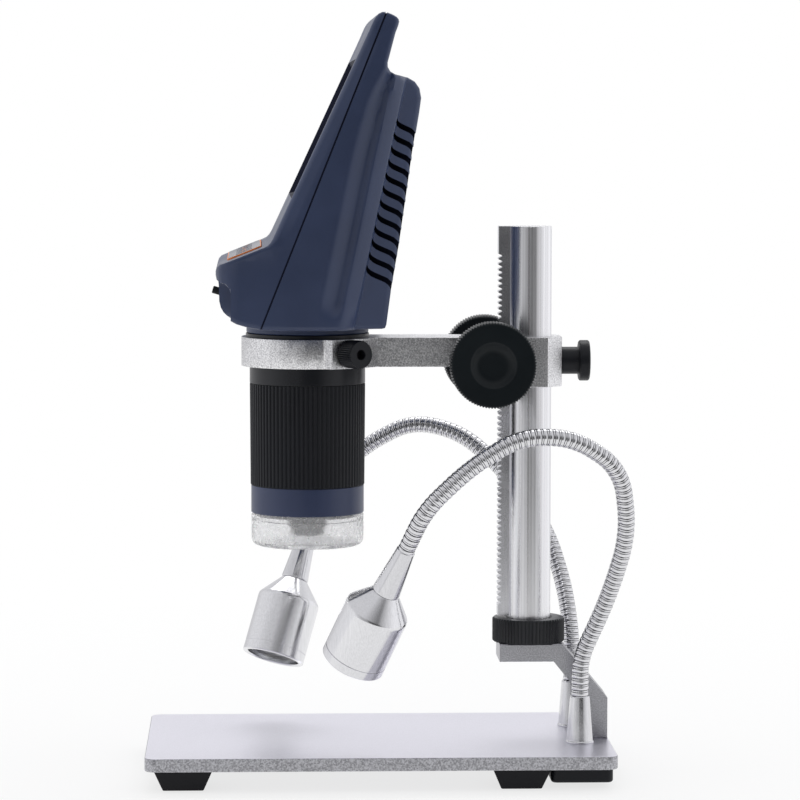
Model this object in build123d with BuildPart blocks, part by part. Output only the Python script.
from build123d import *
import math
import os

os.makedirs("parts", exist_ok=True)

# Digital microscope with a tilted display head, held by a clamp ring on a rack-and-pinion
# stand, with two gooseneck lamps.  Millimetres.  The origin is on the table under the middle of
# the whole object, +Z is up, the display looks towards -X and the column stands on the +X side.

# ---------------------------------------------------------------- driving dimensions
# base plate, feet and the lamp driver box below it
plate_length, plate_depth, plate_thickness = 210.0, 122.0, 6.0
plate_middle_x, plate_corner, plate_edge = -5.0, 5.0, 0.4
foot_height, foot_top, foot_bottom = 9.5, 26.0, 18.0
foot_left_x, foot_right_x, foot_y = -93.0, 57.4, 45.0
plate_top = foot_height + plate_thickness
box_x, box_length_x, box_length_y, box_depth = 84.5, 27.8, 108.0, 7.0
box_wall, box_corner, box_edge = 1.6, 3.0, 1.2
inlet_y, inlet_width, inlet_height, inlet_length = 30.0, 9.0, 4.6, 12.0
inlet_bore, inlet_pin = 1.9, 0.6
screw_shank, screw_head, screw_head_height, screw_key = 2.0, 3.6, 2.2, 1.5
foot_screw_room, driver_stand, driver_thickness, driver_post = 0.4, 1.0, 1.2, 1.5
driver_y, driver_length, driver_width, driver_shift = -12.0, 58.0, 21.0, -1.0
driver_chip, driver_chip_height, driver_chip_steps = (5.0, 6.0), 1.6, (9.0, 13.0)
inlet_back, inlet_pin_short = 2.0, 1.0

# column, its bracket and the rack
column_x, column_radius = 64.1, 10.0
bracket_width, bracket_bar = 25.0, 8.0
bracket_low, bracket_high = plate_top + 35.3, plate_top + 43.3
bracket_left, bracket_right = 50.2, 99.5
bracket_bend_outer, bracket_bend_inner = (78.9, 34.1), (74.9, 30.1)
bracket_screw_y = 7.0
bracket_edge, leg_screw_reach = 0.4, 9.0
column_top, column_spigot, column_edge = 248.7, 7.0, 0.5
nut_radius, nut_height, nut_teeth, nut_notch, nut_edge = 16.5, 11.1, 60, 0.6, 1.0
rack_width, rack_back_x, rack_bottom, rack_edge = 8.0, 57.0, 71.0, 1.6

# rack and pinion
gear_module, pinion_teeth, pressure_angle = 0.8, 12, 20.0
rack_addendum, rack_dedendum, tooth_backlash = 0.56, 0.95, 0.16
pinion_addendum, pinion_dedendum, pinion_face = 0.68, 0.80, 8.0
pitch_radius = gear_module * pinion_teeth / 2
rack_pitch_x = 50.3
pinion_x, pinion_z = rack_pitch_x - pitch_radius, 187.5
gaps_below, gaps_above, gap_over, tooth_steps = 44, 19, 0.3, 5

# carriage with its arm and clamp ring
running_gap = 0.05
block_left, block_right, block_width = 34.0, 78.3, 30.0
block_bottom, arm_bottom, arm_top, arm_width = 176.3, 185.5, 198.7, 26.0
block_chamfer, boss_half, boss_spread, boss_root, facet_end_x = 6.9, 8.6, 1.6, 3.0, -5.5
rack_clear_front, rack_clear_side = 0.3, 0.2
barrel_x, ring_outer, ring_bore = -37.0, 30.0, 26.3
shaft_radius, bush_radius, bush_flange, bush_inner_y, bush_flange_thickness = 3.0, 6.0, 8.0, 5.0, 1.0
knob_radius, knob_inner_y, knob_outer_y, knob_hub = 19.4, 22.6, 36.6, 8.0
knob_teeth, knob_tooth, knob_tooth_out = 90, 0.7, 0.25
knob_dish, knob_dish_depth, knob_dish_slope, knob_edge = 11.7, 2.6, 4.5, 1.0
knob_lip_width, knob_lip_height, knob_web, hub_gap = 0.4, 0.3, 2.0, 1.2
grub_radius, grub_y, grub_sunk, grub_key, grub_key_depth = 1.5, 19.4, 0.6, 0.8, 1.5
pad_radius, pad_length, pad_gap, clamp_shank = 2.9, 1.5, 0.1, 3.0
lock_gap, lock_round = 0.3, 0.7
lock_neck, lock_head, lock_neck_end, lock_head_end = 6.2, 9.25, 86.5, 91.4
clamp_direction = Vector(0.563, -0.826, 0).normalized()
clamp_z, clamp_face, clamp_knob_start, clamp_knob_end = 192.3, 31.5, 31.9, 41.7
clamp_knob, clamp_teeth, clamp_notch, hex_key, hex_depth = 6.4, 40, 0.35, 2.1, 5.0

# optical barrel
collar_radius, tube_radius, tube_bore = 26.25, 23.5, 21.5
flange_radius, flange_top, collar_bottom = 28.0, 200.4, 176.7
focus_bottom, focus_rib, focus_ribs, focus_low_radius = 129.9, 0.6, 60, 25.9
front_ring_radius, front_ring_bottom = 25.65, 117.1
cap_radius, cap_bottom, cap_wall, cap_floor, cap_port, cap_round = 25.5, 103.1, 2.2, 2.0, 9.0, 3.0
cap_spigot, cap_spigot_height, cap_spigot_wall = 21.4, 2.4, 1.4
led_hole, led_circle, led_count, led_size, led_drop = 10.4, 15.5, 8, (3.5, 2.8), 1.2
carrier_radius, carrier_low, carrier_high = 21.4, 136.0, 150.0
snout_radius, snout_bore, snout_low = 8.9, 7.5, 112.0
front_lens = [(0, 113.0), (7.5, 113.8), (7.5, 116.0), (0, 116.0)]
rear_lens = [(0, 130.0), (7.5, 131.0), (7.5, 134.0), (0, 135.0)]
sensor_z, sensor_size, sensor_height = 176.0, (11.0, 9.0), 1.6
pin_radius, pin_reach, pin_z, focus_lift, focus_turn = 1.2, 24.7, 143.0, 4.0, 150.0
pin_root, pin_side_room, pin_end_room = 2.0, 0.1, 0.2
groove_radius, groove_floor, groove_step, groove_over, ring_gap = 1.7, 24.9, 4.0, 8.0, 0.05
ring_slide, rib_end, rib_gap, rib_cut = 0.08, 1.2, 1.0, 2.0

# display head: side outline, seam and flanks
head_top, head_bottom = 343.7, 204.3
head_half_low, head_half_high, head_taper_top = 59.0, 66.0, 318.0
head_wall, head_corner, nose_corner = 2.4, 9.0, 15.0
face_foot, face_lean = (-54.3, 242.0), 24.85
nose_lip = (-76.4, 233.2)
seam = [(1.0, 353.6), (-43.5, 244.1), (-61.0, 196.4)]
ridge_point, ridge_lean = (-8.2, 250.6), 11.6
window_width, window_height, window_bevel, window_up = 110.0, 62.0, 2.5, 56.0
neck_radius, neck_bore = 27.7, 20.5
window_thickness, window_lap, glass_step = 1.4, 6.0, 0.05
panel_wide, panel_high, panel_thickness = 4.0, 9.0, 4.2
key_spacing, key_width, key_height, key_gap, key_stand = 15.5, 10.5, 7.0, 0.25, 1.6
key_body, key_round, key_travel, switch_size = 3.4, 0.5, 0.7, 5.0
pad_width, pad_height, pad_proud, pad_corner, pad_edge = 84.0, 16.0, 0.8, 3.0, 0.4
keys_board, keys_board_down, dimmer_body, dimmer_body_length = (80.0, 16.0), 6.0, (7.5, 6.5), 5.0
board_size, board_middle, board_depth, board_post = (98.0, 62.0), -14.0, -12.0, 2.2
board_post_steps, chip_steps, chip_size, chip_height, chip_up = (90.0, 54.0), (24.0, 18.0), 13.0, 1.4, 12.0
battery_size, battery_middle, battery_depth, battery_thickness = (58.0, 26.0), -36.0, -17.5, 9.0
battery_corner = 2.0
louvre_count, louvre_pitch, louvre_height, louvre_fall = 12, 6.0, 1.7, 40.0
louvre_first, louvre_start, louvre_reach, louvre_inner_y = 47.4, 1.5, 26.0, 38.0
nose_under, nose_setback, nose_panel_half = 224.5, -71.5, 40.0
dimmer_radius, dimmer_length, dimmer_tip, dimmer_lean = 1.7, 8.0, (-80.0, 220.0), 16.0
dimmer_room, dimmer_bore_before, dimmer_bore_length = 0.15, 3.0, 12.0
post_radius, post_wall, screw_core, screw_cap, screw_cap_height, cap_room = 3.3, 0.9, 1.3, 2.6, 1.2, 0.2
high_screws, high_seat, high_post_end = [(-44, 42.0), (44, 42.0)], 11.2, 9.4
low_screws, low_seat_x, seat_thickness = [(-30, 214.5), (30, 214.5)], -46.0, 2.0
post_front_x, post_back_x, post_sunk, low_screw_reach, high_bore = -73.5, -1.5, 0.4, 10.0, 4.0

# gooseneck lamps: the route runs from the base cone to the lamp, one corner per bend
neck_tube, neck_cup = 3.75, 3.85
socket_low, socket_high, socket_height, socket_y = 6.0, 4.3, 21.5, 23.0
near_route = [
    (86.0, -23.0, 37.0),
    (86.0, -23.5, 54.0),
    (98.0, -28.5, 82.0),
    (106.0, -39.0, 112.5),
    (101.5, -48.5, 142.5),
    (79.5, -57.0, 157.0),
    (55.5, -63.0, 158.0),
    (33.5, -67.0, 145.0),
    (13.5, -68.9, 126.3),
    (5.3, -61.0, 107.5),
]
far_route = [
    (86.0, 23.0, 37.0),
    (86.3, 24.0, 56.0),
    (83.5, 30.5, 79.0),
    (76.0, 42.5, 105.0),
    (57.0, 54.5, 131.5),
    (37.0, 62.0, 149.0),
    (14.0, 66.0, 154.5),
    (-11.0, 68.0, 146.0),
    (-29.9, 68.4, 122.5),
    (-36.3, 61.0, 100.8),
]
hinge_places = [(0, 0.29), (2, 0.5), (5, 0.5), (8, 0.5)]
bend_share = 0.45
near_aim, far_aim = Vector(-0.373, 0.36, -0.855), Vector(-0.269, -0.31, -0.912)
cone_length, cone_high, cone_low = 22.5, 4.2, 6.5
shoulder_length, lamp_length, lamp_radius, lamp_wall = 10.0, 28.5, 14.6, 1.7
lamp_mouth, rim_depth, lens_thickness, board_thickness = 12.2, 3.5, 2.5, 1.6
lamp_cell, rim_groove, rim_groove_up, cell_step, lens_bulge = 8.0, 0.4, 4.2, 1.4, 0.8
connector_lap, led_foot, led_top, led_foot_up, led_top_up = 0.6, 2.6, 1.8, 3.4, 3.8


# ---------------------------------------------------------------- helpers
def save(piece, label):
    """Name a finished piece and write it to its own file."""
    piece.part.label = label
    export_step(piece.part, f"parts/{label}.step")


def tilted(origin, outward):
    """Plane on a surface of the head: x along -Y, y up the surface, z outwards."""
    return Plane(origin=origin, x_dir=(0, -1, 0), z_dir=outward)


def knurl(radius, count, depth):
    """Ring of small V notches in the rim of a round sketch."""
    with PolarLocations(radius + depth * 0.4, count):
        RegularPolygon(depth, 3, rotation=180, mode=Mode.SUBTRACT)


# ---------------------------------------------------------------- base
foot_places = [(x, y) for x in (foot_left_x, foot_right_x) for y in (-foot_y, foot_y)]
leg_x = bracket_right - bracket_bar / 2
bracket_screw_places = [(leg_x, -bracket_screw_y), (leg_x, bracket_screw_y)]
socket_x = near_route[0][0]
socket_places = [(socket_x, -socket_y), (socket_x, socket_y)]
screw_depth_in_plate, foot_recess, leg_screw_recess = 4.5, 4.0, 3.0
leg_screw_top = plate_top + leg_screw_reach
socket_spigot = 3.0

with BuildPart() as base_plate:
    with BuildSketch(Plane.XY.offset(foot_height)):
        with Locations((plate_middle_x, 0)):
            RectangleRounded(plate_length, plate_depth, plate_corner)
    extrude(amount=plate_thickness)
    chamfer(base_plate.faces().sort_by(Axis.Z)[-1].edges(), plate_edge)
    chamfer(base_plate.faces().sort_by(Axis.Z)[0].edges(), plate_edge)
    with BuildSketch(Plane.XY.offset(foot_height)):
        with Locations(*foot_places):
            Circle(screw_shank)
    extrude(amount=screw_depth_in_plate, mode=Mode.SUBTRACT)
    with BuildSketch(Plane.XY.offset(foot_height)):
        with Locations(*bracket_screw_places):
            Circle(screw_shank)
        with Locations(*socket_places):
            Circle(socket_spigot)
    extrude(amount=plate_thickness, mode=Mode.SUBTRACT)
    with BuildSketch(Plane.XY.offset(foot_height)):
        with Locations(*bracket_screw_places):
            Circle(screw_head)
    extrude(amount=leg_screw_recess, mode=Mode.SUBTRACT)
save(base_plate, "base_plate")

with BuildPart() as rubber_feet:
    for foot in foot_places:
        with BuildSketch(Plane.XY):
            with Locations(foot):
                Rectangle(foot_bottom, foot_bottom)
        with BuildSketch(Plane.XY.offset(foot_height)):
            with Locations(foot):
                Rectangle(foot_top, foot_top)
        loft()
    with BuildSketch(Plane.XY):
        with Locations(*foot_places):
            Circle(screw_head + foot_screw_room)
    extrude(amount=foot_recess, mode=Mode.SUBTRACT)
    with BuildSketch(Plane.XY):
        with Locations(*foot_places):
            Circle(screw_shank)
    extrude(amount=foot_height, mode=Mode.SUBTRACT)
save(rubber_feet, "rubber_feet")


leg_seat = foot_height + leg_screw_recess
base_screw_rows = [
    (foot_places, foot_recess, foot_height + screw_depth_in_plate),
    (bracket_screw_places, leg_seat, leg_screw_top),
]

with BuildPart() as base_screws:
    for places, seat, tip in base_screw_rows:
        with BuildSketch(Plane.XY.offset(seat - screw_head_height)):
            with Locations(*places):
                Circle(screw_head)
                RegularPolygon(screw_key, 6, mode=Mode.SUBTRACT)
        extrude(amount=screw_head_height)
        with BuildSketch(Plane.XY.offset(seat - screw_head_height / 2)):
            with Locations(*places):
                Circle(screw_shank)
        extrude(amount=tip - seat + screw_head_height / 2)
save(base_screws, "base_screws")

box_bottom = foot_height - box_depth
inlet_z = box_bottom + box_wall + inlet_height / 2
box_right = box_x + box_length_x / 2

with BuildPart() as driver_housing:
    with BuildSketch(Plane.XY.offset(box_bottom)):
        with Locations((box_x, 0)):
            RectangleRounded(box_length_x, box_length_y, box_corner)
    extrude(amount=box_depth)
    fillet(driver_housing.faces().sort_by(Axis.Z)[0].edges(), box_edge)
    with BuildSketch(Plane.XY.offset(box_bottom + box_wall)):
        with Locations((box_x, 0)):
            RectangleRounded(
                box_length_x - 2 * box_wall, box_length_y - 2 * box_wall, box_corner - box_wall
            )
    extrude(amount=box_depth, mode=Mode.SUBTRACT)
    with BuildSketch(Plane.YZ.offset(box_right - 2 * box_wall)):
        with Locations((inlet_y, inlet_z)):
            Rectangle(inlet_width, inlet_height)
    extrude(amount=3 * box_wall, mode=Mode.SUBTRACT)
save(driver_housing, "driver_housing")

with BuildPart() as driver_board:
    board_z = box_bottom + box_wall + driver_stand
    board_place = (box_x + driver_shift, driver_y)
    with BuildSketch(Plane.XY.offset(board_z)):
        with Locations(board_place):
            Rectangle(driver_width, driver_length)
    extrude(amount=driver_thickness)
    with BuildSketch(Plane.XY.offset(board_z + driver_thickness)):
        with Locations(board_place):
            with GridLocations(*driver_chip_steps, 2, 4):
                Rectangle(*driver_chip)
    extrude(amount=driver_chip_height)
    with BuildSketch(Plane.XY.offset(box_bottom + box_wall)):
        with Locations(board_place):
            with GridLocations(driver_width - 4, driver_length - 4, 2, 2):
                Circle(driver_post)
    extrude(amount=driver_stand)
save(driver_board, "driver_board")

with BuildPart() as power_inlet:
    with BuildSketch(Plane.YZ.offset(box_right)):
        with Locations((inlet_y, inlet_z)):
            Rectangle(inlet_width, inlet_height)
            Circle(inlet_bore, mode=Mode.SUBTRACT)
    extrude(amount=-inlet_length)
    with BuildSketch(Plane.YZ.offset(box_right - inlet_length)):
        with Locations((inlet_y, inlet_z)):
            Rectangle(inlet_width, inlet_height)
    extrude(amount=inlet_back)
    with BuildSketch(Plane.YZ.offset(box_right - inlet_length)):
        with Locations((inlet_y, inlet_z)):
            Circle(inlet_pin)
    extrude(amount=inlet_length - inlet_pin_short)
save(power_inlet, "power_inlet")

# ---------------------------------------------------------------- column and bracket
with BuildPart() as column_bracket:
    with BuildSketch(Plane.XZ):
        Polygon(
            (bracket_left, bracket_low),
            (bracket_bend_inner[0], bracket_low),
            (bracket_right - bracket_bar, bracket_bend_inner[1]),
            (bracket_right - bracket_bar, plate_top),
            (bracket_right, plate_top),
            (bracket_right, bracket_bend_outer[1]),
            (bracket_bend_outer[0], bracket_high),
            (bracket_left, bracket_high),
            align=None,
        )
    extrude(amount=bracket_width / 2, both=True)
    chamfer(column_bracket.edges().filter_by(Axis.X), bracket_edge)
    with BuildSketch(Plane.XY.offset(bracket_low)):
        with Locations((column_x, 0)):
            Circle(column_spigot)
    extrude(amount=bracket_high - bracket_low, mode=Mode.SUBTRACT)
    with BuildSketch(Plane.XY.offset(plate_top)):
        with Locations(*bracket_screw_places):
            Circle(screw_shank)
    extrude(amount=leg_screw_top - plate_top, mode=Mode.SUBTRACT)
save(column_bracket, "column_bracket")

with BuildPart() as column:
    with BuildSketch(Plane.XY.offset(bracket_high)):
        with Locations((column_x, 0)):
            Circle(column_radius)
    extrude(amount=column_top - bracket_high)
    chamfer(column.faces().sort_by(Axis.Z)[-1].edges(), column_edge)
    with BuildSketch(Plane.XY.offset(bracket_low)):
        with Locations((column_x, 0)):
            Circle(column_spigot)
    extrude(amount=bracket_high - bracket_low)
    with BuildSketch(Plane.XY.offset(rack_bottom)):
        with Locations((rack_back_x, 0)):
            Rectangle(2 * column_radius, rack_width, align=(Align.MAX, Align.CENTER))
    extrude(amount=column_top - rack_bottom, mode=Mode.SUBTRACT)
save(column, "column")

rack_pitch = math.pi * gear_module
flank_slope = math.tan(math.radians(pressure_angle))
rack_tip_x, rack_root_x = rack_pitch_x - rack_addendum, rack_pitch_x + rack_dedendum
gap_at_tip = rack_pitch / 4 + (rack_addendum + gap_over) * flank_slope
gap_at_root = rack_pitch / 4 - rack_dedendum * flank_slope

with BuildPart() as column_rack:
    with BuildSketch(Plane.XY.offset(rack_bottom)):
        with Locations((rack_tip_x, 0)):
            Rectangle(rack_back_x - rack_tip_x, rack_width, align=(Align.MIN, Align.CENTER))
    extrude(amount=column_top - rack_bottom)
    chamfer(column_rack.edges().filter_by(Axis.Z).group_by(Axis.X)[0], rack_edge)
    with BuildSketch(Plane.XZ):
        for step in range(-gaps_below, gaps_above + 1):
            gap_z = pinion_z + step * rack_pitch
            Polygon(
                (rack_tip_x - gap_over, gap_z - gap_at_tip),
                (rack_root_x, gap_z - gap_at_root),
                (rack_root_x, gap_z + gap_at_root),
                (rack_tip_x - gap_over, gap_z + gap_at_tip),
                align=None,
            )
    extrude(amount=rack_width, both=True, mode=Mode.SUBTRACT)
save(column_rack, "column_rack")

with BuildPart() as column_nut:
    with BuildSketch(Plane.XY.offset(bracket_high)):
        with Locations((column_x, 0)):
            Circle(nut_radius)
            knurl(nut_radius, nut_teeth, nut_notch)
            Circle(column_radius + running_gap, mode=Mode.SUBTRACT)
    extrude(amount=nut_height)
    top_edges = column_nut.faces().sort_by(Axis.Z)[-1].edges().filter_by(GeomType.CIRCLE)
    chamfer(top_edges.sort_by(SortBy.RADIUS)[0], nut_edge)
save(column_nut, "column_nut")

# ---------------------------------------------------------------- carriage
clamp_side = Vector(0, 0, 1).cross(clamp_direction)
barrel_axis_point = Vector(barrel_x, 0, 0)


def beside_ring(out, along):
    """Point in plan, out from the barrel axis towards the clamp screw and along its pad."""
    return barrel_axis_point + clamp_direction * out + clamp_side * along


boss_left = beside_ring(clamp_face, -boss_half)
boss_right = beside_ring(clamp_face, boss_half)
boss_left_foot = beside_ring(clamp_face - boss_root, -boss_half - boss_spread)
lock_axis = Plane(origin=(column_x, 0, pinion_z), z_dir=(1, 0, 0))
clamp_plane = Plane(
    origin=barrel_axis_point + Vector(0, 0, clamp_z),
    x_dir=clamp_side,
    z_dir=clamp_direction,
)

with BuildPart() as support_arm:
    with BuildSketch(Plane.XY.offset(arm_bottom)):
        with Locations((barrel_x, 0)):
            Circle(ring_outer)
        Polygon(
            (barrel_x, 0),
            (boss_left_foot.X, boss_left_foot.Y),
            (boss_left.X, boss_left.Y),
            (boss_right.X, boss_right.Y),
            (facet_end_x, -arm_width / 2),
            (facet_end_x, 0),
            align=None,
        )
        with Locations((barrel_x, 0)):
            Rectangle(
                block_left + 1 - barrel_x, arm_width, align=(Align.MIN, Align.CENTER)
            )
        with Locations((barrel_x, 0)):
            Circle(ring_bore, mode=Mode.SUBTRACT)
    extrude(amount=arm_top - arm_bottom)
    with BuildSketch(Plane.XY.offset(block_bottom)) as block_plan:
        with Locations((block_left, 0)):
            Rectangle(block_right - block_left, block_width, align=(Align.MIN, Align.CENTER))
        chamfer(block_plan.vertices().group_by(Axis.X)[-1], block_chamfer)
    extrude(amount=arm_top - block_bottom)
    with BuildSketch(Plane.XY.offset(block_bottom)):
        with Locations((column_x, 0)):
            Circle(column_radius + running_gap)
        with Locations((rack_tip_x - rack_clear_front, 0)):
            Rectangle(column_radius, rack_width + 2 * rack_clear_side, align=(Align.MIN, Align.CENTER))
    extrude(amount=arm_top - block_bottom, mode=Mode.SUBTRACT)
    with BuildSketch(Plane.XZ):
        with Locations((pinion_x, pinion_z)):
            Circle(bush_radius)
    extrude(amount=block_width, both=True, mode=Mode.SUBTRACT)
    with BuildSketch(lock_axis):
        Circle(clamp_shank + running_gap)
    extrude(amount=block_right, mode=Mode.SUBTRACT)
    with BuildSketch(clamp_plane):
        Circle(clamp_shank + running_gap)
    extrude(amount=clamp_face + 5, mode=Mode.SUBTRACT)
save(support_arm, "support_arm")

with BuildPart() as pinion_bushes:
    for side in (-1, 1):
        with BuildSketch(Plane.XZ.offset(-side * bush_inner_y)):
            with Locations((pinion_x, pinion_z)):
                Circle(bush_radius)
                Circle(shaft_radius + running_gap, mode=Mode.SUBTRACT)
        extrude(amount=-side * (block_width / 2 - bush_inner_y))
        with BuildSketch(Plane.XZ.offset(-side * block_width / 2)):
            with Locations((pinion_x, pinion_z)):
                Circle(bush_flange)
                Circle(shaft_radius + running_gap, mode=Mode.SUBTRACT)
        extrude(amount=-side * bush_flange_thickness)
save(pinion_bushes, "pinion_bushes")

# ---------------------------------------------------------------- pinion, shaft and knobs
base_radius = pitch_radius * math.cos(math.radians(pressure_angle))
tip_radius = pitch_radius + pinion_addendum
root_radius = pitch_radius - pinion_dedendum
knob_shaft_end = knob_outer_y - knob_dish_depth - knob_web


def involute(angle):
    return math.tan(angle) - angle


def tooth_flank():
    """Half-angle of a tooth against radius, from the base circle out to the tip."""
    half_at_pitch = (rack_pitch / 2 - tooth_backlash) / 2 / pitch_radius
    pitch_roll = involute(math.radians(pressure_angle))
    flank = []
    for step in range(tooth_steps + 1):
        radius = base_radius + (tip_radius - base_radius) * step / tooth_steps
        roll = involute(math.acos(base_radius / radius))
        flank.append((radius, half_at_pitch + pitch_roll - roll))
    return flank


def pinion_outline():
    flank = tooth_flank()
    half_at_base = flank[0][1]
    outline = []
    for tooth in range(pinion_teeth):
        centre = 2 * math.pi * tooth / pinion_teeth
        lower = [(root_radius, -half_at_base)] + [(r, -a) for r, a in flank]
        upper = [(r, a) for r, a in reversed(flank)] + [(root_radius, half_at_base)]
        for radius, angle in lower + upper:
            at = centre + angle
            outline.append((radius * math.cos(at), radius * math.sin(at)))
    return outline


with BuildPart() as pinion_shaft:
    with BuildSketch(Plane.XZ):
        with Locations((pinion_x, pinion_z)):
            Polygon(*pinion_outline(), align=None)
    extrude(amount=pinion_face / 2, both=True)
    with BuildSketch(Plane.XZ):
        with Locations((pinion_x, pinion_z)):
            Circle(shaft_radius)
    extrude(amount=knob_shaft_end, both=True)
save(pinion_shaft, "pinion_shaft")

knob_plane = Plane(origin=(pinion_x, 0, pinion_z), x_dir=(1, 0, 0), z_dir=(0, 0, 1))
hub_start = block_width / 2 + hub_gap


def build_knob(side, label):
    """Focus knob on one end of the pinion shaft: hub inwards, knurled rim, dished face."""
    with BuildPart() as knob:
        with BuildSketch(knob_plane):
            with BuildLine():
                Polyline(
                    (0, side * (knob_outer_y - knob_dish_depth)),
                    (knob_dish - knob_dish_slope, side * (knob_outer_y - knob_dish_depth)),
                    (knob_dish, side * (knob_outer_y - knob_lip_height)),
                    (knob_dish + knob_lip_width, side * knob_outer_y),
                    (knob_radius - knob_edge, side * knob_outer_y),
                    (knob_radius, side * (knob_outer_y - knob_edge)),
                    (knob_radius, side * (knob_inner_y + knob_edge)),
                    (knob_radius - knob_edge, side * knob_inner_y),
                    (knob_hub, side * knob_inner_y),
                    (knob_hub, side * hub_start),
                    (0, side * hub_start),
                    close=True,
                )
            make_face()
        revolve(axis=Axis((pinion_x, 0, pinion_z), (0, 1, 0)))
        with BuildSketch(Plane.XZ.offset(-side * (knob_inner_y - 1))):
            with Locations((pinion_x, pinion_z)):
                with PolarLocations(knob_radius + knob_tooth_out, knob_teeth):
                    RegularPolygon(knob_tooth, 3, rotation=180)
        extrude(amount=-side * (knob_outer_y - knob_inner_y + 2), mode=Mode.SUBTRACT)
        with BuildSketch(Plane.XZ):
            with Locations((pinion_x, pinion_z)):
                Circle(shaft_radius)
        extrude(amount=-side * knob_shaft_end, mode=Mode.SUBTRACT)
        with BuildSketch(Plane.XY.offset(pinion_z)):
            with Locations((pinion_x, side * grub_y)):
                Circle(grub_radius)
        extrude(amount=knob_hub + 1, mode=Mode.SUBTRACT)
    save(knob, label)


build_knob(-1, "focus_knob_near")
build_knob(1, "focus_knob_far")

with BuildPart() as knob_grub_screws:
    with BuildSketch(Plane.XY.offset(pinion_z + shaft_radius)):
        with Locations((pinion_x, -grub_y), (pinion_x, grub_y)):
            Circle(grub_radius)
    extrude(amount=knob_hub - shaft_radius - grub_sunk)
    with BuildSketch(Plane.XY.offset(pinion_z + knob_hub - grub_sunk)):
        with Locations((pinion_x, -grub_y), (pinion_x, grub_y)):
            RegularPolygon(grub_key, 6)
    extrude(amount=-grub_key_depth, mode=Mode.SUBTRACT)
save(knob_grub_screws, "knob_grub_screws")


# ---------------------------------------------------------------- lock screw and clamp screw
def build_pad(plane, start, label):
    """Soft tip that a clamping screw pushes against what it holds."""
    with BuildPart() as pad:
        with BuildSketch(plane.offset(start)):
            Circle(pad_radius)
        extrude(amount=pad_length)
    save(pad, label)


lock_pad_start = column_radius + pad_gap
build_pad(lock_axis, lock_pad_start, "lock_pad")
clamp_pad_start = collar_radius + pad_gap
build_pad(clamp_plane, clamp_pad_start, "clamp_pad")

with BuildPart() as lock_screw:
    screw_start = lock_pad_start + pad_length
    with BuildSketch(lock_axis.offset(screw_start)):
        Circle(clamp_shank)
    extrude(amount=lock_neck_end - column_x - screw_start)
    with BuildSketch(lock_axis.offset(block_right + lock_gap - column_x)):
        Circle(lock_neck)
    extrude(amount=lock_neck_end - block_right - lock_gap)
    with BuildSketch(lock_axis.offset(lock_neck_end - column_x)):
        Circle(lock_head)
    extrude(amount=lock_head_end - lock_neck_end)
    head_rims = lock_screw.edges().filter_by(GeomType.CIRCLE).sort_by(SortBy.RADIUS)[-2:]
    fillet(head_rims, lock_round)
save(lock_screw, "lock_screw")

with BuildPart() as clamp_screw:
    with BuildSketch(clamp_plane.offset(clamp_pad_start + pad_length)):
        Circle(clamp_shank)
    extrude(amount=clamp_knob_start - clamp_pad_start - pad_length + 1)
    with BuildSketch(clamp_plane.offset(clamp_knob_start)):
        Circle(clamp_knob)
        knurl(clamp_knob, clamp_teeth, clamp_notch)
    extrude(amount=clamp_knob_end - clamp_knob_start)
    with BuildSketch(clamp_plane.offset(clamp_knob_end)):
        RegularPolygon(hex_key, 6)
    extrude(amount=-hex_depth, mode=Mode.SUBTRACT)
save(clamp_screw, "clamp_screw")

# ---------------------------------------------------------------- optical barrel
barrel_axis = Axis((barrel_x, 0, 0), (0, 0, 1))


def turned(*outline):
    """Face of a turned part: radius and height pairs, in the plane through the barrel axis."""
    with Locations((barrel_x, 0)):
        Polygon(*outline, align=None)


with BuildPart() as barrel_tube:
    with BuildSketch(Plane.XZ):
        turned(
            (tube_bore, front_ring_bottom),
            (tube_radius, front_ring_bottom),
            (tube_radius, collar_bottom),
            (collar_radius, collar_bottom),
            (collar_radius, arm_top),
            (flange_radius, arm_top),
            (flange_radius, flange_top),
            (tube_bore, flange_top),
        )
    revolve(axis=barrel_axis)
    slot_half = focus_lift + pin_radius + pin_end_room
    with BuildSketch(Plane.XZ):
        with Locations((barrel_x, pin_z)):
            Rectangle(2 * (pin_radius + pin_side_room), 2 * slot_half)
    extrude(amount=-(tube_radius + 1), mode=Mode.SUBTRACT)
save(barrel_tube, "barrel_tube")

with BuildPart() as neck_ring:
    with BuildSketch(Plane.XZ):
        turned(
            (neck_bore, flange_top),
            (neck_radius, flange_top),
            (neck_radius, head_bottom),
            (neck_bore, head_bottom),
        )
    revolve(axis=barrel_axis)
save(neck_ring, "neck_ring")

with BuildPart() as focus_ring:
    ring_low, ring_high = focus_bottom + ring_gap, collar_bottom - ring_gap
    with BuildSketch(Plane.XZ):
        turned(
            (tube_radius + ring_slide, ring_low),
            (focus_low_radius, ring_low),
            (collar_radius, ring_high),
            (tube_radius + ring_slide, ring_high),
        )
    revolve(axis=barrel_axis)
    with BuildSketch(Plane.XY.offset(ring_low + rib_end)):
        with Locations((barrel_x, 0)):
            with PolarLocations(collar_radius - focus_rib + rib_cut / 2, focus_ribs):
                Rectangle(rib_cut, rib_gap)
    extrude(amount=ring_high - ring_low - 2 * rib_end, mode=Mode.SUBTRACT)
    lift_per_degree = focus_lift / focus_turn
    groove_half_turn = int((focus_turn + groove_over) / groove_step)
    for step in range(-groove_half_turn, groove_half_turn + 1):
        turn = step * groove_step
        facing = Vector(0, 1, 0).rotate(Axis.Z, turn)
        groove_z = pin_z - lift_per_degree * turn
        start = Vector(barrel_x, 0, groove_z) + facing * (tube_radius - 1)
        with BuildSketch(Plane(origin=start, z_dir=facing)):
            Circle(groove_radius)
        extrude(amount=groove_floor - tube_radius + 1, mode=Mode.SUBTRACT)
save(focus_ring, "focus_ring")

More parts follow.
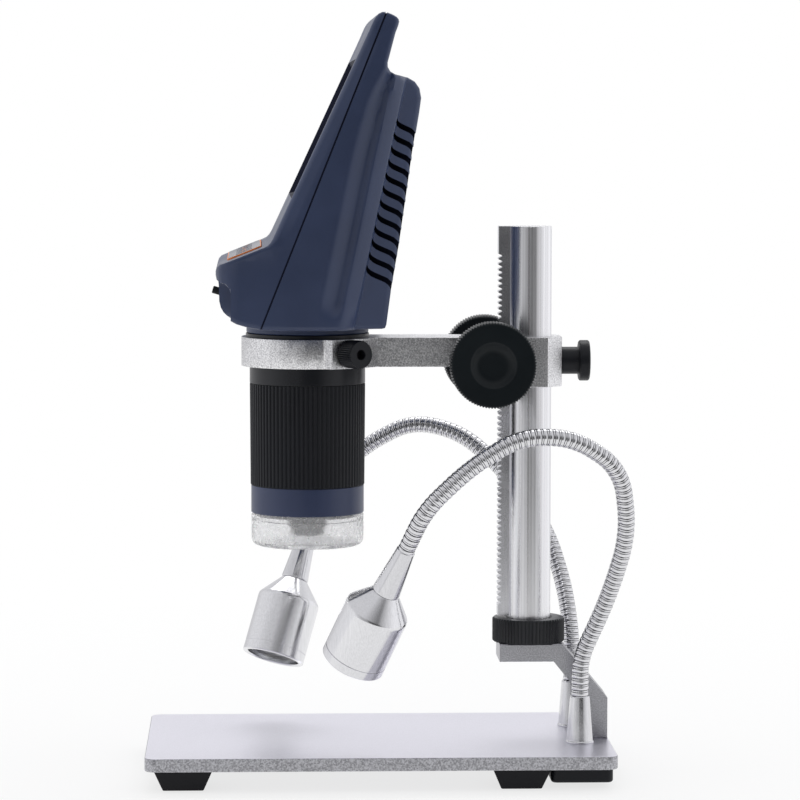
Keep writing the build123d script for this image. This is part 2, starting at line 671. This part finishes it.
with BuildPart() as front_ring:
    with BuildSketch(Plane.XZ):
        turned(
            (tube_radius, front_ring_bottom),
            (front_ring_radius, front_ring_bottom),
            (front_ring_radius, focus_bottom),
            (tube_radius, focus_bottom),
        )
    revolve(axis=barrel_axis)
save(front_ring, "front_ring")

with BuildPart() as diffuser_cap:
    inner_radius = cap_radius - cap_wall
    with BuildSketch(Plane.XZ):
        turned(
            (cap_port, cap_bottom),
            (cap_radius, cap_bottom),
            (cap_radius, front_ring_bottom),
            (cap_spigot, front_ring_bottom),
            (cap_spigot, front_ring_bottom + cap_spigot_height),
            (cap_spigot - cap_spigot_wall, front_ring_bottom + cap_spigot_height),
            (cap_spigot - cap_spigot_wall, front_ring_bottom - cap_floor),
            (inner_radius, front_ring_bottom - cap_floor),
            (inner_radius, cap_bottom + cap_floor),
            (cap_port, cap_bottom + cap_floor),
        )
    revolve(axis=barrel_axis)
    lower_rim = diffuser_cap.edges().filter_by(GeomType.CIRCLE).group_by(Axis.Z)[0]
    fillet(lower_rim.sort_by(SortBy.RADIUS)[-1], cap_round)
save(diffuser_cap, "diffuser_cap")

with BuildPart() as led_ring_board:
    board_low = front_ring_bottom + cap_spigot_height
    with BuildSketch(Plane.XY.offset(board_low)):
        with Locations((barrel_x, 0)):
            Circle(cap_spigot)
            Circle(led_hole, mode=Mode.SUBTRACT)
    extrude(amount=board_thickness)
    with BuildSketch(Plane.XY.offset(board_low)):
        with Locations((barrel_x, 0)):
            with PolarLocations(led_circle, led_count):
                Rectangle(*led_size)
    extrude(amount=-led_drop)
save(led_ring_board, "led_ring_board")

with BuildPart() as lens_carrier:
    with BuildSketch(Plane.XZ):
        turned(
            (snout_bore, snout_low),
            (snout_radius, snout_low),
            (snout_radius, carrier_low),
            (carrier_radius, carrier_low),
            (carrier_radius, carrier_high),
            (snout_bore, carrier_high),
        )
    revolve(axis=barrel_axis)
    with BuildSketch(Plane.XZ.offset(-(carrier_radius - pin_root))):
        with Locations((barrel_x, pin_z)):
            Circle(pin_radius)
    extrude(amount=-(pin_reach - carrier_radius + pin_root))
save(lens_carrier, "lens_carrier")

with BuildPart() as objective_lens:
    with BuildSketch(Plane.XZ):
        turned(*front_lens)
    revolve(axis=barrel_axis)
    with BuildSketch(Plane.XZ):
        turned(*rear_lens)
    revolve(axis=barrel_axis)
save(objective_lens, "objective_lens")

with BuildPart() as sensor_board:
    with BuildSketch(Plane.XY.offset(sensor_z)):
        with Locations((barrel_x, 0)):
            Circle(tube_bore)
    extrude(amount=board_thickness)
    with BuildSketch(Plane.XY.offset(sensor_z)):
        with Locations((barrel_x, 0)):
            Rectangle(*sensor_size)
    extrude(amount=-sensor_height)
save(sensor_board, "sensor_board")

# ---------------------------------------------------------------- display head
lean = math.radians(face_lean)
face_up = Vector(math.sin(lean), 0, math.cos(lean))
face_out = Vector(-math.cos(lean), 0, math.sin(lean))
face_foot_point = Vector(face_foot[0], 0, face_foot[1])
screen_plane = tilted(face_foot_point + face_up * window_up, face_out)
face_top = face_foot_point + face_up * 105.5

head_side = [
    (-59.0, head_bottom),
    (-66.0, 205.2),
    (-71.5, 207.8),
    (-76.0, 212.2),
    (-77.2, 216.5),
    (-77.2, 222.8),
    (-78.3, 226.2),
    (-78.3, 230.4),
    nose_lip,
    face_foot,
    (face_top.X, face_top.Z),
    (-8.4, 341.3),
    (-5.6, head_top),
    (-2.4, 343.2),
    (1.2, 340.6),
    (2.2, 337.9),
    (-3.2, 321.2),
    (-1.6, 317.8),
    (1.6, 316.2),
    (8.6, 314.6),
    (12.0, 311.6),
    (13.0, 306.9),
    (7.5, 270.4),
    (3.8, 243.6),
    (-2.0, head_bottom + 1.0),
    (-3.0, head_bottom),
]


def half_width(height):
    """Half width of the head at a height: tapered below, upright above."""
    share = (min(height, head_taper_top) - head_bottom) / (head_taper_top - head_bottom)
    return head_half_low + (head_half_high - head_half_low) * share


ridge_angle = math.radians(ridge_lean)
ridge_plane = Plane(
    origin=(ridge_point[0], 0, ridge_point[1]),
    x_dir=(math.cos(ridge_angle), 0, -math.sin(ridge_angle)),
    z_dir=(math.sin(ridge_angle), 0, math.cos(ridge_angle)),
)
ridge_low, ridge_high = -52.0, 68.0
flank = [
    (-18.1, head_half_high + 0.1),
    (-13.4, 64.4),
    (-10.7, 61.8),
    (-8.0, 62.6),
    (0.0, 57.0),
    (0.8, 51.5),
    (30.0, 46.5),
    (60.0, 46.5),
    (60.0, 100.0),
    (-18.1, 100.0),
]


def head_form(inset):
    """Closed body of the head, drawn in by inset on every side."""
    with BuildPart() as form:
        with BuildSketch(Plane.XZ):
            Polygon(*head_side, align=None)
            if inset:
                offset(amount=-inset, kind=Kind.INTERSECTION)
        extrude(amount=80, both=True)
        with BuildSketch(Plane.YZ.offset(-120)) as front_view:
            Polygon(
                (-head_half_low, head_bottom),
                (head_half_low, head_bottom),
                (head_half_high, head_taper_top),
                (head_half_high, head_top),
                (-head_half_high, head_top),
                (-head_half_high, head_taper_top),
                align=None,
            )
            fillet(front_view.vertices().group_by(Axis.Y)[-1], head_corner)
            if inset:
                offset(amount=-inset, kind=Kind.INTERSECTION)
        extrude(amount=200, mode=Mode.INTERSECT)
        with BuildSketch(Plane.XY.offset(150)) as plan_view:
            Rectangle(200, 2 * head_half_high)
            with Locations((-100, 0)):
                Rectangle(43.4 + 2 * inset, 400, mode=Mode.SUBTRACT)
            fillet(plan_view.vertices().group_by(Axis.X)[0], nose_corner)
        extrude(amount=250, mode=Mode.INTERSECT)
        with BuildSketch(Plane.XY.offset(head_bottom - 20)):
            for side in (-1, 1):
                with Locations((nose_setback + inset, side * (nose_panel_half - inset))):
                    corner = (Align.MAX, Align.MIN if side > 0 else Align.MAX)
                    Rectangle(40, 60, align=corner)
        extrude(amount=nose_under + inset - head_bottom + 20, mode=Mode.SUBTRACT)
        for side in (-1, 1):
            for height in (ridge_low, ridge_high):
                level = ridge_plane.origin.Z + height * math.cos(ridge_angle)
                scale_here = half_width(level) / head_half_high
                with BuildSketch(ridge_plane.offset(height)):
                    Polygon(*[(u, side * v * scale_here) for u, v in flank], align=None)
                    if inset:
                        offset(amount=inset, kind=Kind.INTERSECTION)
            loft(ruled=True, mode=Mode.SUBTRACT)
    return form.part


head_outer = head_form(0)
head_inner = head_form(head_wall)

slope_angle = math.atan2(face_foot[1] - nose_lip[1], face_foot[0] - nose_lip[0])
key_plane = tilted(
    ((nose_lip[0] + face_foot[0]) / 2, 0, (nose_lip[1] + face_foot[1]) / 2),
    (-math.sin(slope_angle), 0, math.cos(slope_angle)),
)
key_places = [(key_spacing * (step - 2), 0) for step in range(5)]
dimmer_angle = math.radians(dimmer_lean)
dimmer_plane = Plane(
    origin=(dimmer_tip[0], 0, dimmer_tip[1]),
    x_dir=(0, -1, 0),
    z_dir=(-math.cos(dimmer_angle), 0, math.sin(dimmer_angle)),
)

with BuildPart() as head_shell_pair:
    add(head_outer)
    add(head_inner, mode=Mode.SUBTRACT)
    with BuildSketch(Plane.XY.offset(head_bottom - 1)):
        with Locations((barrel_x, 0)):
            Circle(neck_bore)
    extrude(amount=head_wall + 2, mode=Mode.SUBTRACT)

with BuildPart() as front_side:
    with BuildSketch(Plane.XZ):
        Polygon(*seam, (-130, 196), (-130, 353.6), align=None)
    extrude(amount=90, both=True)

with BuildPart() as front_shell:
    add(head_shell_pair.part)
    add(front_side.part, mode=Mode.INTERSECT)
    with BuildSketch(screen_plane.offset(glass_step)):
        Rectangle(window_width + 2 * window_bevel, window_height + 2 * window_bevel)
    with BuildSketch(screen_plane.offset(-head_wall)):
        Rectangle(window_width, window_height)
    loft(mode=Mode.SUBTRACT)
    with BuildSketch(key_plane.offset(2)):
        RectangleRounded(pad_width, pad_height, pad_corner)
    extrude(amount=-head_wall - 3, mode=Mode.SUBTRACT)
    with BuildSketch(dimmer_plane.offset(dimmer_bore_before)):
        Circle(dimmer_radius + dimmer_room)
    extrude(amount=-dimmer_bore_length, mode=Mode.SUBTRACT)
    with BuildSketch(screen_plane.offset(post_sunk - head_wall)):
        with Locations(*high_screws):
            Circle(post_radius)
    extrude(amount=head_wall - post_sunk - high_post_end)
    with BuildSketch(Plane.YZ.offset(post_front_x)):
        with Locations(*low_screws):
            Circle(post_radius)
    extrude(amount=low_seat_x - seat_thickness - post_front_x)
    with BuildSketch(screen_plane.offset(-high_post_end)):
        with Locations(*high_screws):
            Circle(screw_core)
    extrude(amount=high_post_end - head_wall, mode=Mode.SUBTRACT)
    with BuildSketch(Plane.YZ.offset(low_seat_x - seat_thickness)):
        with Locations(*low_screws):
            Circle(screw_core)
    extrude(amount=-low_screw_reach, mode=Mode.SUBTRACT)
save(front_shell, "front_shell")

with BuildPart() as rear_shell:
    add(head_shell_pair.part)
    add(front_side.part, mode=Mode.SUBTRACT)
    fall = math.radians(louvre_fall)
    for side in (-1, 1):
        for step in range(louvre_count):
            height = louvre_first - step * louvre_pitch
            start = ridge_plane.origin + ridge_plane.z_dir * height
            slot_plane = Plane(
                origin=start + Vector(0, side * louvre_inner_y, 0),
                x_dir=(math.cos(fall), 0, -math.sin(fall)),
                z_dir=(0, side, 0),
            )
            with BuildSketch(slot_plane):
                with Locations(((louvre_start + louvre_reach) / 2, 0)):
                    Rectangle(louvre_reach - louvre_start, louvre_height)
            extrude(amount=head_half_high - louvre_inner_y, mode=Mode.SUBTRACT)
    with BuildSketch(Plane.YZ.offset(low_seat_x - seat_thickness)):
        with Locations(*low_screws):
            Circle(post_radius + post_wall)
    extrude(amount=post_back_x - low_seat_x + seat_thickness)
    with BuildSketch(Plane.YZ.offset(low_seat_x)):
        with Locations(*low_screws):
            Circle(screw_cap + cap_room)
    extrude(amount=-low_seat_x + 5, mode=Mode.SUBTRACT)
    with BuildSketch(Plane.YZ.offset(low_seat_x)):
        with Locations(*low_screws):
            Circle(screw_core)
    extrude(amount=-seat_thickness, mode=Mode.SUBTRACT)
    with BuildSketch(screen_plane.offset(-high_seat)):
        with Locations(*high_screws):
            Circle(screw_cap + cap_room)
    extrude(amount=-high_bore, mode=Mode.SUBTRACT)
    with BuildSketch(screen_plane.offset(-high_seat)):
        with Locations(*high_screws):
            Circle(screw_core)
    extrude(amount=high_bore, mode=Mode.SUBTRACT)
save(rear_shell, "rear_shell")

with BuildPart() as screen_window:
    with BuildSketch(screen_plane.offset(-head_wall)):
        Rectangle(window_width + window_lap, window_height + window_lap)
    extrude(amount=-window_thickness)
save(screen_window, "screen_window")

with BuildPart() as lcd_panel:
    with BuildSketch(screen_plane.offset(-head_wall - window_thickness)):
        Rectangle(window_width + panel_wide, window_height + panel_high)
    extrude(amount=-panel_thickness)
save(lcd_panel, "lcd_panel")

with BuildPart() as main_board:
    with BuildSketch(screen_plane.offset(board_depth)):
        with Locations((0, board_middle)):
            Rectangle(*board_size)
    extrude(amount=-board_thickness)
    with BuildSketch(screen_plane.offset(board_depth - board_thickness)):
        with Locations((0, board_middle + chip_up)):
            with GridLocations(*chip_steps, 3, 2):
                Rectangle(chip_size, chip_size)
    extrude(amount=-chip_height)
    with BuildSketch(screen_plane.offset(board_depth)):
        with Locations((0, board_middle)):
            with GridLocations(*board_post_steps, 2, 2):
                Circle(board_post)
    extrude(amount=-board_depth - head_wall - window_thickness - panel_thickness)
save(main_board, "main_board")

with BuildPart() as battery_pack:
    with BuildSketch(screen_plane.offset(battery_depth)):
        with Locations((0, battery_middle)):
            RectangleRounded(*battery_size, battery_corner)
    extrude(amount=-battery_thickness)
save(battery_pack, "battery_pack")

with BuildPart() as control_board:
    switch_top = key_stand - key_body - key_travel
    with BuildSketch(key_plane.offset(-keys_board_down)):
        Rectangle(*keys_board)
    extrude(amount=-board_thickness)
    with BuildSketch(key_plane.offset(-keys_board_down)):
        with Locations(*key_places):
            Rectangle(switch_size, switch_size)
    extrude(amount=switch_top + keys_board_down)
    with BuildSketch(dimmer_plane.offset(-dimmer_length)):
        Rectangle(*dimmer_body)
    extrude(amount=-dimmer_body_length)
save(control_board, "control_board")

with BuildPart() as key_panel:
    with BuildSketch(key_plane.offset(-head_wall)):
        RectangleRounded(pad_width, pad_height, pad_corner)
        with Locations(*key_places):
            SlotOverall(key_width + 2 * key_gap, key_height + 2 * key_gap, mode=Mode.SUBTRACT)
    extrude(amount=head_wall + pad_proud)
    key_axis = Axis(key_plane.origin, key_plane.z_dir)
    chamfer(key_panel.faces().sort_by(key_axis)[-1].outer_wire().edges(), pad_edge)
save(key_panel, "key_panel")

for number, place in enumerate(key_places, start=1):
    with BuildPart() as key:
        with BuildSketch(key_plane.offset(key_stand - key_body)):
            with Locations(place):
                SlotOverall(key_width, key_height)
        extrude(amount=key_body)
        fillet(key.faces().sort_by(key_axis)[-1].edges(), key_round)
    save(key, f"key_{number}")

with BuildPart() as dimmer_knob:
    with BuildSketch(dimmer_plane):
        Circle(dimmer_radius)
    extrude(amount=-dimmer_length)
save(dimmer_knob, "dimmer_knob")

with BuildPart() as shell_screws:
    with BuildSketch(screen_plane.offset(-high_seat)):
        with Locations(*high_screws):
            Circle(screw_cap)
    extrude(amount=-screw_cap_height)
    with BuildSketch(screen_plane.offset(-high_seat)):
        with Locations(*high_screws):
            Circle(screw_core)
    extrude(amount=high_seat - head_wall - 1.0)
    with BuildSketch(Plane.YZ.offset(low_seat_x)):
        with Locations(*low_screws):
            Circle(screw_cap)
    extrude(amount=screw_cap_height)
    with BuildSketch(Plane.YZ.offset(low_seat_x)):
        with Locations(*low_screws):
            Circle(screw_core)
    extrude(amount=-low_screw_reach)
save(shell_screws, "shell_screws")


# ---------------------------------------------------------------- gooseneck lamps
def corner_radii(route):
    """Bend radius at each inner corner, as large as its two runs allow."""
    radii = []
    for before, corner, after in zip(route, route[1:], route[2:]):
        arrive, leave = corner - before, after - corner
        turn = math.radians(arrive.get_angle(leave))
        shorter = min(arrive.length, leave.length)
        radii.append(bend_share * shorter / math.tan(turn / 2))
    return radii


def hinge_point(route, place):
    """Point on a straight run where two spans of the gooseneck meet."""
    run, share = place
    return route[run] + (route[run + 1] - route[run]) * share


def build_span(route, first, last, label):
    """Span of flexible tube: a cup around the joint behind it, a ball for the joint ahead."""
    radii = corner_radii(route)
    start, end = hinge_point(route, first), hinge_point(route, last)
    corners = route[first[0] + 1 : last[0] + 1]
    with BuildPart() as span:
        with BuildLine() as centre:
            FilletPolyline(start, *corners, end, radius=radii[first[0] : last[0]])
        with BuildSketch(Plane(origin=start, z_dir=centre.line % 0)):
            Circle(neck_tube)
        sweep()
        with Locations(end):
            Sphere(neck_tube)
        with Locations(start):
            Sphere(neck_cup, mode=Mode.SUBTRACT)
    save(span, label)


def build_lamp(side, points, aim):
    """Base socket, three spans, connector cone, lamp body, lens and lamp board."""
    route = [Vector(*point) for point in points]
    rise = (route[1] - route[0]).normalized()
    first_joint = hinge_point(route, hinge_places[0])

    with BuildPart() as socket:
        foot = Vector(route[0].X, route[0].Y, plate_top)
        with BuildSketch(Plane(origin=foot, z_dir=(0, 0, 1))):
            Circle(socket_low)
        with BuildSketch(Plane(origin=foot + Vector(0, 0, socket_height), z_dir=(0, 0, 1))):
            Circle(socket_high)
        loft()
        with BuildSketch(Plane(origin=foot, z_dir=(0, 0, 1))):
            Circle(socket_spigot)
        extrude(amount=-plate_thickness)
        with BuildSketch(Plane(origin=route[0] - rise, z_dir=rise)):
            Circle(neck_tube)
        extrude(amount=(first_joint - route[0]).length + 1)
        with Locations(first_joint):
            Sphere(neck_tube)
    save(socket, f"lamp_socket_{side}")

    for letter, first, last in zip("abc", hinge_places, hinge_places[1:]):
        build_span(route, first, last, f"neck_{side}_{letter}")

    axis = aim.normalized()
    radial = Vector(0, 1, 0).cross(axis).normalized()
    top = route[-1]
    lamp_axis = Axis(top, axis)
    profile_plane = Plane(origin=top, x_dir=radial, z_dir=radial.cross(axis))
    last_joint = hinge_point(route, hinge_places[-1])
    last_run = (route[-1] - route[-2]).normalized()
    shoulder, rim = cone_length + shoulder_length, cone_length + shoulder_length + lamp_length
    lens_front = rim - rim_depth
    lens_back = lens_front - lens_thickness
    cell = lamp_radius - lamp_wall
    board_back = lens_back - lamp_cell

    with BuildPart() as connector:
        with BuildSketch(Plane(origin=last_joint, z_dir=last_run)):
            Circle(neck_tube)
        extrude(amount=(top - last_joint).length)
        with BuildSketch(profile_plane):
            Polygon((0, -connector_lap), (cone_high, -connector_lap), (cone_low, cone_length),
                    (0, cone_length), align=None)
        revolve(axis=lamp_axis)
        with Locations(last_joint):
            Sphere(neck_cup, mode=Mode.SUBTRACT)
    save(connector, f"lamp_connector_{side}")

    with BuildPart() as lamp_body:
        with BuildSketch(profile_plane):
            Polygon(
                (0, cone_length),
                (cone_low, cone_length),
                (lamp_radius, shoulder),
                (lamp_radius, rim - rim_groove_up - rim_groove),
                (lamp_radius - rim_groove, rim - rim_groove_up - rim_groove),
                (lamp_radius - rim_groove, rim - rim_groove_up),
                (lamp_radius, rim - rim_groove_up),
                (lamp_radius, rim),
                (lamp_mouth, rim),
                (lamp_mouth, lens_front),
                (cell, lens_front),
                (cell, board_back),
                (cell - cell_step, board_back),
                (cell - cell_step, shoulder + 1.0),
                (0, shoulder + 1.0),
                align=None,
            )
        revolve(axis=lamp_axis)
    save(lamp_body, f"lamp_body_{side}")

    with BuildPart() as lens:
        with BuildSketch(profile_plane):
            Polygon((0, lens_back), (cell, lens_back), (cell, lens_front),
                    (lamp_mouth, lens_front), (0, lens_front + lens_bulge), align=None)
        revolve(axis=lamp_axis)
    save(lens, f"lamp_lens_{side}")

    with BuildPart() as board:
        with BuildSketch(profile_plane):
            Polygon((0, board_back), (cell, board_back), (cell, board_back + board_thickness),
                    (led_foot, board_back + board_thickness), (led_top, board_back + led_foot_up),
                    (0, board_back + led_top_up), align=None)
        revolve(axis=lamp_axis)
    save(board, f"lamp_board_{side}")


build_lamp("near", near_route, near_aim)
build_lamp("far", far_route, far_aim)
